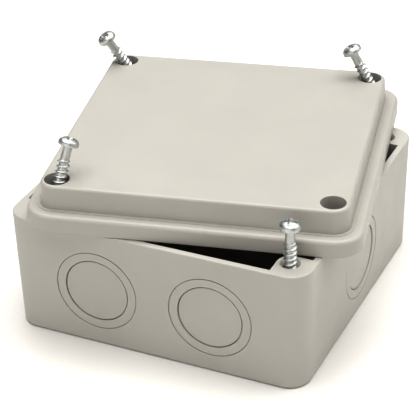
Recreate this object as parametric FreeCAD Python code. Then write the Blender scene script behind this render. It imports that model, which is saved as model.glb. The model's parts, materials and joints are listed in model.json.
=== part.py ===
import FreeCAD, Part
import math
import os

os.makedirs("parts", exist_ok=True)

# Square adaptable junction box with a cap lid. The lid is not fastened: it lies askew on the rim,
# three of its screws lean in their wells and the fourth stands in the front right post.
# Millimetres. Origin: centre of the underside of the box. +X right, +Y to the back, +Z up.

V = FreeCAD.Vector

# Overall sizes
lid_outer = 100.0
box_height = 39.0
lid_height = 13.0

# Lid
lid_overlap = 2.0
lid_skirt_wall = 1.5
lid_skirt_gap = 0.4
lid_corner_r = 8.4
lid_ledge_height = 5.5
lid_ledge_thickness = 2.0
lid_ledge_edge_r = 1.3
lid_skirt_edge_r = 0.45
ledge_step_height = 0.15
ledge_step_width = 0.9
plateau_inset = 4.3
plateau_draft = 0.46
plateau_corner_r = 5.2
plateau_edge_r = 0.9
plateau_wall = 2.0

# Box
box_wall = 1.9
box_floor = 2.2
box_draft = 0.62
box_corner_r = 6.85
box_foot_edge_r = 0.9
box_rim_edge_r = 0.4
post_side = 11.3
post_corner_r = 4.0
fixing_inset = 18.1
fixing_hole_d = 4.5

# Breakaway entries for 20 mm and 25 mm conduit
knockout_outer_r = 13.25
knockout_inner_r = 10.37
knockout_gap = 0.06
# Groove round each plate's front, then how far the plate's face lies behind the wall's
ring_groove = 0.2
ring_groove_depth = 0.4
ring_sunk = 0.1
disc_groove = 0.3
disc_groove_depth = 0.95
disc_sunk = 0.4
knockout_edge = 0.12
knockout_height_share = 0.485
knockout_pitch_share = 0.384

# Screws and the holes they use
screw_thread_d = 4.0
screw_core_d = 2.8
screw_pitch = 1.6
screw_length = 18.8
screw_neck_length = 4.0
screw_point_length = 4.4
screw_point_r = 0.25
screw_head_d = 6.2
screw_head_height = 2.4
# Domed top of the head: inwards from the side and down from the top
screw_dome = ((0.0, 1.6), (0.25, 0.95), (0.9, 0.35), (1.8, 0.0))
screw_recess_span = 4.0
screw_recess_width = 0.9
screw_recess_depth = 1.1
screw_inset = 7.35
well_clearance = 0.68
well_depth = 7.8
well_wall = 1.5
seat_hole_clearance = 0.25
pilot_clearance = 0.1
pilot_depth = 22.0
# Countersink at the top of each pilot hole
pilot_mouth = 0.9
pilot_mouth_depth = 1.2

# Gasket under the ledge
gasket_width = 2.5
gasket_side_gap = 0.1

# How the loose pieces lie
lid_yaw = 12.4
lid_side_shift = 0.39
lid_screw_gap = 1.1
standing_screw_inserted = 7.3
lean_clearance = 0.12
lean_point_gap = 0.5
lean_point_lift = 0.2
# Well, then heading and share of reach of the screw's point on the well floor and of its neck at the lip
leaning_screws = {
    "front_left": (-1, -1, 252.0, 0.91, 349.0, 0.68),
    "back_left": (-1, 1, 21.0, 0.99, 228.0, 0.98),
    "back_right": (1, 1, 348.0, 0.98, 219.0, 0.86),
}

# Sizes that follow from the ones above
box_half = lid_outer / 2 - lid_skirt_wall - lid_skirt_gap
screw_half = box_half - screw_inset
ledge_ceiling = lid_ledge_height - lid_ledge_thickness
plateau_half = lid_outer / 2 - plateau_inset
well_r = screw_head_d / 2 + well_clearance
well_floor = lid_height - well_depth
knockout_z = box_height * knockout_height_share
knockout_x = box_half * knockout_pitch_share
wall_tilt = math.atan(box_draft / box_height)


def box_half_at(z):
    return box_half - box_draft * (1 - z / box_height)


def tapered_block(half_low, half_high, radius, z_low, z_high):
    low = half_low
    high = half_high
    block = Part.makeWedge(-low, z_low, -low, -high, -high, low, z_high, low, high, high)
    block.rotate(V(0, 0, 0), V(1, 0, 0), 90)
    upright = [e for e in block.Edges if e.BoundBox.ZLength > (z_high - z_low) / 2]
    return block.makeFillet(radius, upright)


def edges_at(shape, z):
    return [e for e in shape.Edges if abs(e.BoundBox.ZMin - z) < 1e-4 and abs(e.BoundBox.ZMax - z) < 1e-4]


def box_outside():
    block = tapered_block(box_half_at(0), box_half, box_corner_r, 0, box_height)
    block = block.makeFillet(box_foot_edge_r, edges_at(block, 0))
    return block.makeFillet(box_rim_edge_r, edges_at(block, box_height))


def box_hollow():
    top = box_height + 1
    radius = box_corner_r - box_wall
    low = box_half_at(box_floor) - box_wall
    high = box_half_at(top) - box_wall
    return tapered_block(low, high, radius, box_floor, top)


def corner_post(outside, sx, sy):
    inner = box_half - post_side
    block = Part.makeBox(post_side, post_side, box_height, V(inner, inner, 0))
    corner = [e for e in block.Edges if abs(e.BoundBox.XMax - inner) < 1e-6]
    upright = [e for e in corner if abs(e.BoundBox.YMax - inner) < 1e-6]
    block = block.makeFillet(post_corner_r, upright)
    if sx < 0:
        block = block.mirror(V(0, 0, 0), V(1, 0, 0))
    if sy < 0:
        block = block.mirror(V(0, 0, 0), V(0, 1, 0))
    return block.common(outside)


def knockout_sites():
    return {
        "front_left": (0, -knockout_x),
        "front_right": (0, knockout_x),
        "right_side": (90, 0),
        "back_right": (180, -knockout_x),
        "back_left": (180, knockout_x),
        "left_side": (270, 0),
    }


def at_site(shape, turn, along):
    # The shape is made with its axis on -Z and its outer face at z = 0, then stood in the wall.
    face = -box_half_at(knockout_z)
    moved = shape.copy()
    moved.rotate(V(0, 0, 0), V(1, 0, 0), -90 + math.degrees(wall_tilt))
    moved.translate(V(along, face, knockout_z))
    moved.rotate(V(0, 0, 0), V(0, 0, 1), turn)
    return moved


def plug(radius, low, high):
    return Part.makeCylinder(radius, high - low, V(0, 0, low))


def plate(radius, sunk, groove, groove_depth):
    # A disc that fills the wall from a sunk front face to the inside, with a groove left around its front.
    front = plug(radius - groove, sunk, groove_depth)
    return front.fuse(plug(radius, groove_depth, box_wall)).removeSplitter()


def flared_hole(radius, sunk):
    through = plug(radius, -2, box_wall + 2)
    flare = Part.makeCone(radius + knockout_edge + 0.5, radius, knockout_edge + 0.5, V(0, 0, sunk - 0.5))
    return through.fuse(flare)


def knockout_ring():
    outer = plate(knockout_outer_r - knockout_gap, ring_sunk, ring_groove, ring_groove_depth)
    return outer.cut(flared_hole(knockout_inner_r, ring_sunk))


def knockout_disc():
    return plate(knockout_inner_r - knockout_gap, disc_sunk, disc_groove, disc_groove_depth)


def base_enclosure():
    outside = box_outside()
    shape = outside.cut(box_hollow())
    for sx in (-1, 1):
        for sy in (-1, 1):
            shape = shape.fuse(corner_post(outside, sx, sy))
    shape = shape.removeSplitter()
    pilot_r = screw_thread_d / 2 + pilot_clearance
    fixing = box_half - fixing_inset
    for sx in (-1, 1):
        for sy in (-1, 1):
            bottom = V(sx * screw_half, sy * screw_half, box_height - pilot_depth)
            shape = shape.cut(Part.makeCylinder(pilot_r, pilot_depth + 1, bottom))
            mouth = V(sx * screw_half, sy * screw_half, box_height - pilot_mouth_depth)
            shape = shape.cut(Part.makeCone(pilot_r, pilot_r + pilot_mouth, pilot_mouth_depth, mouth))
            foot = V(sx * fixing, sy * fixing, -1)
            shape = shape.cut(Part.makeCylinder(fixing_hole_d / 2, box_floor + 2, foot))
    for turn, along in knockout_sites().values():
        shape = shape.cut(at_site(flared_hole(knockout_outer_r, 0), turn, along))
    return shape


def lid_outside():
    half = lid_outer / 2
    flange = tapered_block(half, half, lid_corner_r, 0, lid_ledge_height)
    flange = flange.makeFillet(lid_ledge_edge_r, edges_at(flange, lid_ledge_height))
    flange = flange.makeFillet(lid_skirt_edge_r, edges_at(flange, 0))
    low = plateau_half + plateau_draft
    plateau = tapered_block(low, plateau_half, plateau_corner_r, ledge_ceiling, lid_height)
    plateau = plateau.makeFillet(plateau_edge_r, edges_at(plateau, lid_height))
    foot_half = low + ledge_step_width
    foot_top = lid_ledge_height + ledge_step_height
    foot = tapered_block(foot_half, foot_half, plateau_corner_r + ledge_step_width, ledge_ceiling, foot_top)
    return flange.fuse(foot).fuse(plateau)


def lid_well(sx, sy, radius, z_low, z_high):
    return Part.makeCylinder(radius, z_high - z_low, V(sx * screw_half, sy * screw_half, z_low))


def lid_shell():
    shape = lid_outside()
    skirt_half = lid_outer / 2 - lid_skirt_wall
    skirt = tapered_block(skirt_half, skirt_half, lid_corner_r - lid_skirt_wall, -1, ledge_ceiling)
    inner = plateau_half - plateau_wall
    roof = lid_height - plateau_wall
    hollow = tapered_block(inner, inner, plateau_corner_r - plateau_wall, -1, roof)
    cavity = hollow
    for sx in (-1, 1):
        for sy in (-1, 1):
            tube = lid_well(sx, sy, well_r + well_wall, lid_overlap, lid_height)
            cavity = cavity.cut(tube)
            skirt = skirt.cut(tube.common(hollow))
    shape = shape.cut(skirt).cut(cavity)
    for sx in (-1, 1):
        for sy in (-1, 1):
            shape = shape.cut(lid_well(sx, sy, well_r, well_floor, lid_height + 1))
            seat_r = screw_thread_d / 2 + seat_hole_clearance
            shape = shape.cut(lid_well(sx, sy, seat_r, 0, lid_height))
    return shape


def gasket():
    outer = lid_outer / 2 - lid_skirt_wall - gasket_side_gap
    radius = lid_corner_r - lid_skirt_wall - gasket_side_gap
    ring = tapered_block(outer, outer, radius, lid_overlap, ledge_ceiling)
    inner = outer - gasket_width
    return ring.cut(tapered_block(inner, inner, radius - gasket_width, 0, lid_height))


def lid_place():
    # The lid lies with its front edge just behind the head of the standing screw.
    turn = FreeCAD.Rotation(V(0, 0, 1), lid_yaw)
    across = turn.multVec(V(1, 0, 0))
    back = turn.multVec(V(0, 1, 0))
    screw = V(screw_half, -screw_half, 0)
    reach = screw.dot(back) + lid_outer / 2 + screw_head_d / 2 + lid_screw_gap
    spot = across * lid_side_shift + back * reach + V(0, 0, box_height)
    return FreeCAD.Placement(spot, turn)


def thread_profile():
    core = screw_core_d / 2
    crest = screw_thread_d / 2
    top = screw_length - screw_neck_length
    points = [V(0, 0, 0), V(screw_point_r, 0, 0)]
    turns = int((top - 0.6) / screw_pitch)
    for i in range(turns):
        root_z = 0.6 + i * screw_pitch
        grown = min(1.0, (root_z + screw_pitch / 2) / screw_point_length)
        root = screw_point_r + (core - screw_point_r) * min(1.0, root_z / screw_point_length)
        points.append(V(root, 0, root_z))
        points.append(V(screw_point_r + (crest - screw_point_r) * grown, 0, root_z + screw_pitch * 0.5))
    points.append(V(core, 0, 0.6 + turns * screw_pitch))
    return points


def screw():
    # Point at the origin, head up. Thread turns are drawn as separate rings.
    core = screw_core_d / 2
    head = screw_head_d / 2
    top = screw_length + screw_head_height
    points = thread_profile()
    points += [V(core, 0, screw_length), V(head, 0, screw_length)]
    points += [V(head - drop, 0, top - rise) for drop, rise in screw_dome]
    points.append(V(0, 0, top))
    points.append(points[0])
    body = Part.Face(Part.makePolygon(points)).revolve(V(0, 0, 0), V(0, 0, 1), 360)
    span = screw_recess_span
    width = screw_recess_width
    for size in ((span, width), (width, span)):
        corner = V(-size[0] / 2, -size[1] / 2, top - screw_recess_depth)
        body = body.cut(Part.makeBox(size[0], size[1], screw_recess_depth + 1, corner))
    return body


def lip_reach():
    # How far the axis may lie off the well's centre at the lip, for a screw leaning all the way.
    angle = 0.5
    for _ in range(8):
        reach = well_r - (screw_thread_d / 2 + lean_clearance) / math.cos(angle)
        angle = math.atan((well_r - lean_point_gap + reach) / (well_depth - lean_point_lift))
    return reach


def towards(heading, distance):
    return V(math.cos(math.radians(heading)) * distance, math.sin(math.radians(heading)) * distance, 0)


def leaning_place(sx, sy, point_heading, point_share, lip_heading, lip_share):
    axis = V(sx * screw_half, sy * screw_half, 0)
    floor = axis + V(0, 0, well_floor + lean_point_lift)
    point = floor + towards(point_heading, (well_r - lean_point_gap) * point_share)
    lip = axis + V(0, 0, lid_height) + towards(lip_heading, lip_reach() * lip_share)
    return FreeCAD.Placement(point, FreeCAD.Rotation(V(0, 0, 1), lip - point))


def placed(shape, place):
    moved = shape.copy()
    moved.Placement = place
    return moved


nodes = {"base_enclosure": base_enclosure()}
for name, (turn, along) in knockout_sites().items():
    nodes["knockout_ring_" + name] = at_site(knockout_ring(), turn, along)
    nodes["knockout_disc_" + name] = at_site(knockout_disc(), turn, along)
lid_at = lid_place()
nodes["lid"] = placed(lid_shell(), lid_at)
nodes["lid_gasket"] = placed(gasket(), lid_at)
for name, lean in leaning_screws.items():
    nodes["lid_screw_" + name] = placed(screw(), lid_at.multiply(leaning_place(*lean)))
standing = V(screw_half, -screw_half, box_height - standing_screw_inserted)
nodes["lid_screw_front_right"] = placed(screw(), FreeCAD.Placement(standing, FreeCAD.Rotation()))

for name, shape in nodes.items():
    shape.exportStep("parts/" + name + ".step")
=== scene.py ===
import json
import math

import bmesh
import bpy
from mathutils import Matrix, Vector


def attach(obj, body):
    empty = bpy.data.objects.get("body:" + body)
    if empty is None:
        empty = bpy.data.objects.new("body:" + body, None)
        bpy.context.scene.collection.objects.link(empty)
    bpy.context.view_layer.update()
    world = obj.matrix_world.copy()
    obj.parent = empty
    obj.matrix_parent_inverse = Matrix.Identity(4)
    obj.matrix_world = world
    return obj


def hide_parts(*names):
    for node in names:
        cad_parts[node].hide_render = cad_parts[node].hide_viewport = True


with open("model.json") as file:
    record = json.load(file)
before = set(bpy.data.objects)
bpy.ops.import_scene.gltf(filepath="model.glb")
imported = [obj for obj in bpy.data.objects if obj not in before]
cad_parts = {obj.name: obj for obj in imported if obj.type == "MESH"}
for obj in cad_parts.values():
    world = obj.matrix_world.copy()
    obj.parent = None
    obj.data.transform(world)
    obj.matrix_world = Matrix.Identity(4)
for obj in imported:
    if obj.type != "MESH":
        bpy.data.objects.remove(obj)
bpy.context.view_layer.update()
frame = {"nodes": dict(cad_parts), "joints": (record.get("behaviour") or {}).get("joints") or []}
nodes = frame["nodes"]
joints = {j["name"]: j for j in frame["joints"]}

MM = 0.001

# ---------------------------------------------------------------- materials

# Most of a noise texture's values lie between these two.
NOISE_LOW = 0.3
NOISE_HIGH = 0.7

# Linear colours
BOX_GREY = (0.444, 0.428, 0.391)
LID_GREY = (0.421, 0.404, 0.367)
ZINC_DARK = (0.48, 0.49, 0.475)
ZINC_LIGHT = (0.60, 0.61, 0.59)
RUBBER_DARK = (0.012, 0.012, 0.012)
RUBBER_LIGHT = (0.03, 0.03, 0.029)
PAPER_DARK = (0.755, 0.738, 0.708)
PAPER_LIGHT = (0.775, 0.758, 0.727)

# Near the middle of each plastic's uneven roughness
BOX_ROUGHNESS = 0.42
LID_ROUGHNESS = 0.40


def new_material(name):
    mat = bpy.data.materials.new(name)
    mat.use_nodes = True
    tree = mat.node_tree
    tree.nodes.clear()
    out = tree.nodes.new("ShaderNodeOutputMaterial")
    shader = tree.nodes.new("ShaderNodeBsdfPrincipled")
    tree.links.new(shader.outputs["BSDF"], out.inputs["Surface"])
    return mat, tree, shader


def noise(tree, scale, detail, roughness):
    # Scale counts features per metre.
    coord = tree.nodes.new("ShaderNodeTexCoord")
    node = tree.nodes.new("ShaderNodeTexNoise")
    node.inputs["Scale"].default_value = scale
    node.inputs["Detail"].default_value = detail
    node.inputs["Roughness"].default_value = roughness
    tree.links.new(coord.outputs["Object"], node.inputs["Vector"])
    return node.outputs["Fac"]


def ramp(tree, source, low, high):
    node = tree.nodes.new("ShaderNodeValToRGB")
    node.color_ramp.elements[0].position = NOISE_LOW
    node.color_ramp.elements[1].position = NOISE_HIGH
    node.color_ramp.elements[0].color = (*low, 1)
    node.color_ramp.elements[1].color = (*high, 1)
    tree.links.new(source, node.inputs["Fac"])
    return node.outputs["Color"]


def spread(tree, source, low, high):
    node = tree.nodes.new("ShaderNodeMapRange")
    node.inputs["From Min"].default_value = NOISE_LOW
    node.inputs["From Max"].default_value = NOISE_HIGH
    node.inputs["To Min"].default_value = low
    node.inputs["To Max"].default_value = high
    tree.links.new(source, node.inputs["Value"])
    return node.outputs["Result"]


def bump(tree, source, distance, strength, under=None):
    # Distance is in metres; under is a bump that this one is laid over.
    node = tree.nodes.new("ShaderNodeBump")
    node.inputs["Distance"].default_value = distance
    node.inputs["Strength"].default_value = strength
    tree.links.new(source, node.inputs["Height"])
    if under is not None:
        tree.links.new(under, node.inputs["Normal"])
    return node.outputs["Normal"]


def moulded_plastic(name, colour, roughness):
    # Satin grey plastic: faint flow marks in the colour, fine spark-eroded grain, uneven sheen.
    mat, tree, shader = new_material(name)
    dark = tuple(c * 0.965 for c in colour)
    light = tuple(min(1.0, c * 1.02) for c in colour)
    flow = noise(tree, 38.0, 4.0, 0.55)
    tree.links.new(ramp(tree, flow, dark, light), shader.inputs["Base Color"])
    patches = noise(tree, 130.0, 5.0, 0.6)
    tree.links.new(spread(tree, patches, roughness - 0.05, roughness + 0.06), shader.inputs["Roughness"])
    grain = bump(tree, noise(tree, 5200.0, 2.0, 0.6), 0.00003, 0.35)
    waves = bump(tree, noise(tree, 55.0, 1.0, 0.3), 0.0004, 0.12, grain)
    tree.links.new(waves, shader.inputs["Normal"])
    shader.inputs["IOR"].default_value = 1.5
    return mat


def zinc(name):
    # Bright zinc plate: slightly mottled passivation, uneven sheen and a fine grain.
    mat, tree, shader = new_material(name)
    cloud = noise(tree, 900.0, 4.0, 0.6)
    tree.links.new(ramp(tree, cloud, ZINC_DARK, ZINC_LIGHT), shader.inputs["Base Color"])
    wear = noise(tree, 2600.0, 5.0, 0.7)
    tree.links.new(spread(tree, wear, 0.40, 0.54), shader.inputs["Roughness"])
    shader.inputs["Metallic"].default_value = 1.0
    tree.links.new(bump(tree, noise(tree, 6000.0, 3.0, 0.6), 0.00002, 0.5), shader.inputs["Normal"])
    return mat


def rubber(name):
    # Black closed-cell foam rubber, rough all over.
    mat, tree, shader = new_material(name)
    cells = noise(tree, 3200.0, 3.0, 0.6)
    tree.links.new(ramp(tree, cells, RUBBER_DARK, RUBBER_LIGHT), shader.inputs["Base Color"])
    shader.inputs["Roughness"].default_value = 0.85
    tree.links.new(bump(tree, cells, 0.00008, 0.7), shader.inputs["Normal"])
    return mat


def floor_paper(name):
    # Matt off-white paper with a faint fibre.
    mat, tree, shader = new_material(name)
    fibre = noise(tree, 900.0, 3.0, 0.6)
    tree.links.new(ramp(tree, fibre, PAPER_DARK, PAPER_LIGHT), shader.inputs["Base Color"])
    shader.inputs["Roughness"].default_value = 0.95
    shader.inputs["Specular IOR Level"].default_value = 0.1
    return mat


def give(obj, mat):
    if not obj.data.materials:
        obj.data.materials.append(mat)
    for slot in obj.material_slots:
        slot.material = mat


# ---------------------------------------------------------------- screws

# One screw, as large as the CAD screws: millimetres, point at the origin and head up
THREAD_R = 2.0
CORE_R = 1.4
POINT_R = 0.22
PITCH = 1.6
SHANK = 18.8
NECK = 4.0
POINT = 4.4
HEAD_R = 3.1
HEAD_H = 2.4
# Height of the head's upright side, below its dome
SIDE_H = 0.75
TOP = SHANK + HEAD_H

# The thread's ridge: how far its crest leads the core's taper, half its width in turns, the power
# that rounds its flanks, and the length over which it runs out below the neck
CREST_LEAD = 0.35
RIDGE_HALF = 0.27
RIDGE_POWER = 0.85
RUN_OUT = 0.9

# The dome over the head
DOME_STEPS = 14
DOME_R = HEAD_R - 0.02
DOME_POWER = 0.9
CROWN_SHARE = 0.02

# The cross recess: a quarter of its outline, then the scale and the depth below the top of each layer
RECESS_QUARTER = ((2.1, -0.5), (2.1, 0.5), (0.66, 0.66))
RECESS_LAYERS = ((1.1, -0.5), (1.0, 0.45), (0.66, 1.3))
RECESS_BOTTOM = 1.55

# Mesh steps round the screw and along each turn, and the angle over which an edge stays sharp
AROUND = 56
STEPS_PER_TURN = 18
SHARP_ANGLE = math.radians(38)


def smooth_step(x):
    x = max(0.0, min(1.0, x))
    return x * x * (3 - 2 * x)


def shank_radius(angle, z):
    # One helical ridge on a core that tapers to the point and runs out under the neck.
    core = POINT_R + (CORE_R - POINT_R) * min(1.0, z / POINT)
    crest = POINT_R + (THREAD_R - POINT_R) * min(1.0, (z + CREST_LEAD) / POINT)
    turn = (z / PITCH - angle / (2 * math.pi)) % 1.0
    ridge = max(0.0, 1 - abs(turn - 0.5) / RIDGE_HALF) ** RIDGE_POWER
    fade = 1 - smooth_step((z - (SHANK - NECK - RUN_OUT)) / RUN_OUT)
    return core + max(0.0, crest - core) * ridge * fade


def head_profile():
    # Radius and height, from the smooth neck through the fillet under the head to the top of its dome.
    profile = [(CORE_R, SHANK - NECK * 0.6), (CORE_R, SHANK - 0.35), (CORE_R + 0.1, SHANK - 0.12)]
    profile += [(CORE_R + 0.35, SHANK), (HEAD_R - 0.2, SHANK), (HEAD_R - 0.05, SHANK + 0.05)]
    profile += [(HEAD_R, SHANK + 0.2), (DOME_R, SHANK + SIDE_H)]
    for i in range(1, DOME_STEPS + 1):
        t = math.radians(90 * i / DOME_STEPS)
        r = DOME_R * max(CROWN_SHARE, math.cos(t)) ** DOME_POWER
        profile.append((r, SHANK + SIDE_H + (HEAD_H - SIDE_H) * math.sin(t)))
    return profile


def screw_body():
    # The threaded shank, with a ring of vertices at every step up the screw, closed by the head.
    rings = []
    steps = int((SHANK - NECK) / PITCH * STEPS_PER_TURN)
    heights = [(SHANK - NECK) * i / steps for i in range(steps + 1)]
    for z in heights:
        rings.append([(shank_radius(2 * math.pi * k / AROUND, z), z) for k in range(AROUND)])
    for r, z in head_profile():
        rings.append([(r, z)] * AROUND)
    bm = bmesh.new()
    layers = []
    for ring in rings:
        layer = []
        for k, (r, z) in enumerate(ring):
            angle = 2 * math.pi * k / AROUND
            layer.append(bm.verts.new((r * math.cos(angle), r * math.sin(angle), z)))
        layers.append(layer)
    for low, high in zip(layers, layers[1:]):
        for k in range(AROUND):
            n = (k + 1) % AROUND
            bm.faces.new((low[k], low[n], high[n], high[k]))
    tip = bm.verts.new((0, 0, 0))
    crown = bm.verts.new((0, 0, TOP))
    for k in range(AROUND):
        n = (k + 1) % AROUND
        bm.faces.new((layers[0][n], layers[0][k], tip))
        bm.faces.new((layers[-1][k], layers[-1][n], crown))
    mesh = bpy.data.meshes.new("screw_blank")
    bm.to_mesh(mesh)
    bm.free()
    return mesh


def cross_cutter():
    # A cross recess: a plus shape that narrows as it goes down, with a small pyramid at the bottom.
    outline = []
    for quarter in range(4):
        a = math.radians(90 * quarter)
        for x, y in RECESS_QUARTER:
            outline.append((x * math.cos(a) - y * math.sin(a), x * math.sin(a) + y * math.cos(a)))
    bm = bmesh.new()
    layers = []
    for scale, depth in RECESS_LAYERS:
        layers.append([bm.verts.new((x * scale, y * scale, TOP - depth)) for x, y in outline])
    count = len(outline)
    for low, high in zip(layers, layers[1:]):
        for k in range(count):
            n = (k + 1) % count
            bm.faces.new((low[n], low[k], high[k], high[n]))
    bm.faces.new(layers[0])
    pit = bm.verts.new((0, 0, TOP - RECESS_BOTTOM))
    for k in range(count):
        n = (k + 1) % count
        bm.faces.new((layers[-1][n], layers[-1][k], pit))
    bmesh.ops.recalc_face_normals(bm, faces=bm.faces)
    mesh = bpy.data.meshes.new("cross_cutter")
    bm.to_mesh(mesh)
    bm.free()
    return mesh


def finished(obj, name):
    graph = bpy.context.evaluated_depsgraph_get()
    mesh = bpy.data.meshes.new_from_object(obj.evaluated_get(graph))
    mesh.name = name
    return mesh


def screw_mesh():
    blank = bpy.data.objects.new("screw_blank", screw_body())
    cutter = bpy.data.objects.new("cross_cutter", cross_cutter())
    for obj in (blank, cutter):
        bpy.context.collection.objects.link(obj)
    cut = blank.modifiers.new("recess", "BOOLEAN")
    cut.operation = "DIFFERENCE"
    cut.solver = "EXACT"
    cut.object = cutter
    bpy.context.view_layer.update()
    mesh = finished(blank, "lid_screw")
    for obj in (blank, cutter):
        bpy.data.objects.remove(obj)
    mesh.transform(Matrix.Scale(MM, 4))
    for face in mesh.polygons:
        face.use_smooth = True
    mesh.set_sharp_from_angle(angle=SHARP_ANGLE)
    return mesh


# How far up the CAD screw, in metres, a vertex still counts as part of its point
POINT_SLACK = 0.00002


def screw_place(node, axis):
    # The CAD screw's own point and axis say where the finished screw stands.
    along = [(v.co.dot(axis), v.co) for v in node.data.vertices]
    low = min(a for a, _ in along)
    ring = [co for a, co in along if a < low + POINT_SLACK]
    point = sum(ring, Vector()) / len(ring)
    point += axis * (low - point.dot(axis))
    return Matrix.Translation(point) @ axis.to_track_quat("Z", "Y").to_matrix().to_4x4()


# ---------------------------------------------------------------- build

PLASTIC_BOX = moulded_plastic("plastic_box", BOX_GREY, BOX_ROUGHNESS)
PLASTIC_LID = moulded_plastic("plastic_lid", LID_GREY, LID_ROUGHNESS)
ZINC = zinc("zinc_plate")
RUBBER = rubber("neoprene")

for name, obj in nodes.items():
    if name == "lid":
        give(obj, PLASTIC_LID)
    elif name == "lid_gasket":
        give(obj, RUBBER)
    elif name.startswith("lid_screw"):
        give(obj, ZINC)
    else:
        give(obj, PLASTIC_BOX)

# Each screw's joint, and how far it is turned about its own axis, in radians
SCREWS = {
    "front_left": ("screw_front_left_draw", 0.6),
    "back_left": ("screw_back_left_draw", 2.1),
    "back_right": ("screw_back_right_draw", 3.9),
    "front_right": ("screw_front_right_drive", 0.25),
}
master = screw_mesh()
for where, (joint, spin) in SCREWS.items():
    axis = Vector(joints[joint]["axis"]).normalized()
    cad = nodes["lid_screw_" + where]
    mesh = master.copy()
    mesh.transform(screw_place(cad, axis) @ Matrix.Rotation(spin, 4, "Z"))
    piece = bpy.data.objects.new("fine_screw_" + where, mesh)
    bpy.context.collection.objects.link(piece)
    give(piece, ZINC)
    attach(piece, "screw_" + where)
    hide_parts(cad.name)

# ---------------------------------------------------------------- stage

FLOOR_SIZE = 8
# The floor lies a hair under the box, so that the two faces don't share a plane.
FLOOR_GAP = 0.00002

bpy.ops.mesh.primitive_plane_add(size=FLOOR_SIZE, location=(0, 0, -FLOOR_GAP))
floor = bpy.context.object
floor.name = "floor"
give(floor, floor_paper("floor_paper"))


CENTRE = Vector((0.0, 0.0, 0.04))
CAMERA_AZIMUTH = 25.262


def direction(azimuth, elevation):
    # The way out from the object; azimuth 0 looks at its front and 90 at its right side.
    az = math.radians(azimuth)
    el = math.radians(elevation)
    return Vector((math.sin(az) * math.cos(el), -math.cos(az) * math.cos(el), math.sin(el)))


def around(azimuth, elevation, distance):
    # A place on a sphere around the object; azimuth 0 is the camera's side, 90 the picture's right.
    return CENTRE + direction(CAMERA_AZIMUTH + azimuth, elevation) * distance


def softbox(name, place, size, watts):
    # A white rectangular light, aimed at the object.
    data = bpy.data.lights.new(name, "AREA")
    data.shape = "RECTANGLE"
    data.size = size[0]
    data.size_y = size[1]
    data.energy = watts
    obj = bpy.data.objects.new(name, data)
    obj.location = place
    obj.rotation_euler = (place - CENTRE).to_track_quat("Z", "Y").to_euler()
    bpy.context.collection.objects.link(obj)


# Each light's place, its width and height in metres, and its watts
LIGHTS = {
    "top": (around(0, 90, 1.5), (1.7, 1.7), 40.4),
    "top_back": (around(180, 60, 1.6), (1.6, 1.6), 9.0),
    "back_low": (around(180, 25, 1.6), (1.6, 0.8), 1.6),
    "right": (around(90, 35, 1.7), (1.5, 1.3), 15.8),
    "front_low": (around(-30, 15, 1.6), (2.2, 0.7), 11.3),
}
for name, (place, size, watts) in LIGHTS.items():
    softbox(name, place, size, watts)

# The softboxes give all the light: the world gives none.
world = bpy.data.worlds.new("studio")
world.use_nodes = True
world.node_tree.nodes["Background"].inputs["Strength"].default_value = 0.0
bpy.context.scene.world = world

# A gamma under 1 gives the picture a harder contrast.
bpy.context.scene.view_settings.view_transform = "Standard"
bpy.context.scene.view_settings.gamma = 0.735

# ---------------------------------------------------------------- camera


# Degrees, metres from the object's origin, and the lens in millimetres
CAMERA_ELEVATION = 30.570
CAMERA_ROLL = -1.562
CAMERA_PLACE = (0.18521, -0.39869, 0.28474)
FOCAL_LENGTH = 139.25
SENSOR_WIDTH = 36.0
NEAR_CLIP = 0.01


def camera_matrix(azimuth, elevation, roll, place):
    back = direction(azimuth, elevation)
    right = Vector((0, 0, 1)).cross(back).normalized()
    up = back.cross(right)
    c = math.cos(math.radians(roll))
    s = math.sin(math.radians(roll))
    x = right * c + up * s
    y = up * c - right * s
    rows = [(x[i], y[i], back[i], place[i]) for i in range(3)]
    return Matrix(rows + [(0, 0, 0, 1)])


lens = bpy.data.cameras.new("camera")
lens.sensor_width = SENSOR_WIDTH
lens.lens = FOCAL_LENGTH
lens.clip_start = NEAR_CLIP
camera = bpy.data.objects.new("camera", lens)
camera.matrix_world = camera_matrix(CAMERA_AZIMUTH, CAMERA_ELEVATION, CAMERA_ROLL, CAMERA_PLACE)
bpy.context.collection.objects.link(camera)
bpy.context.scene.camera = camera
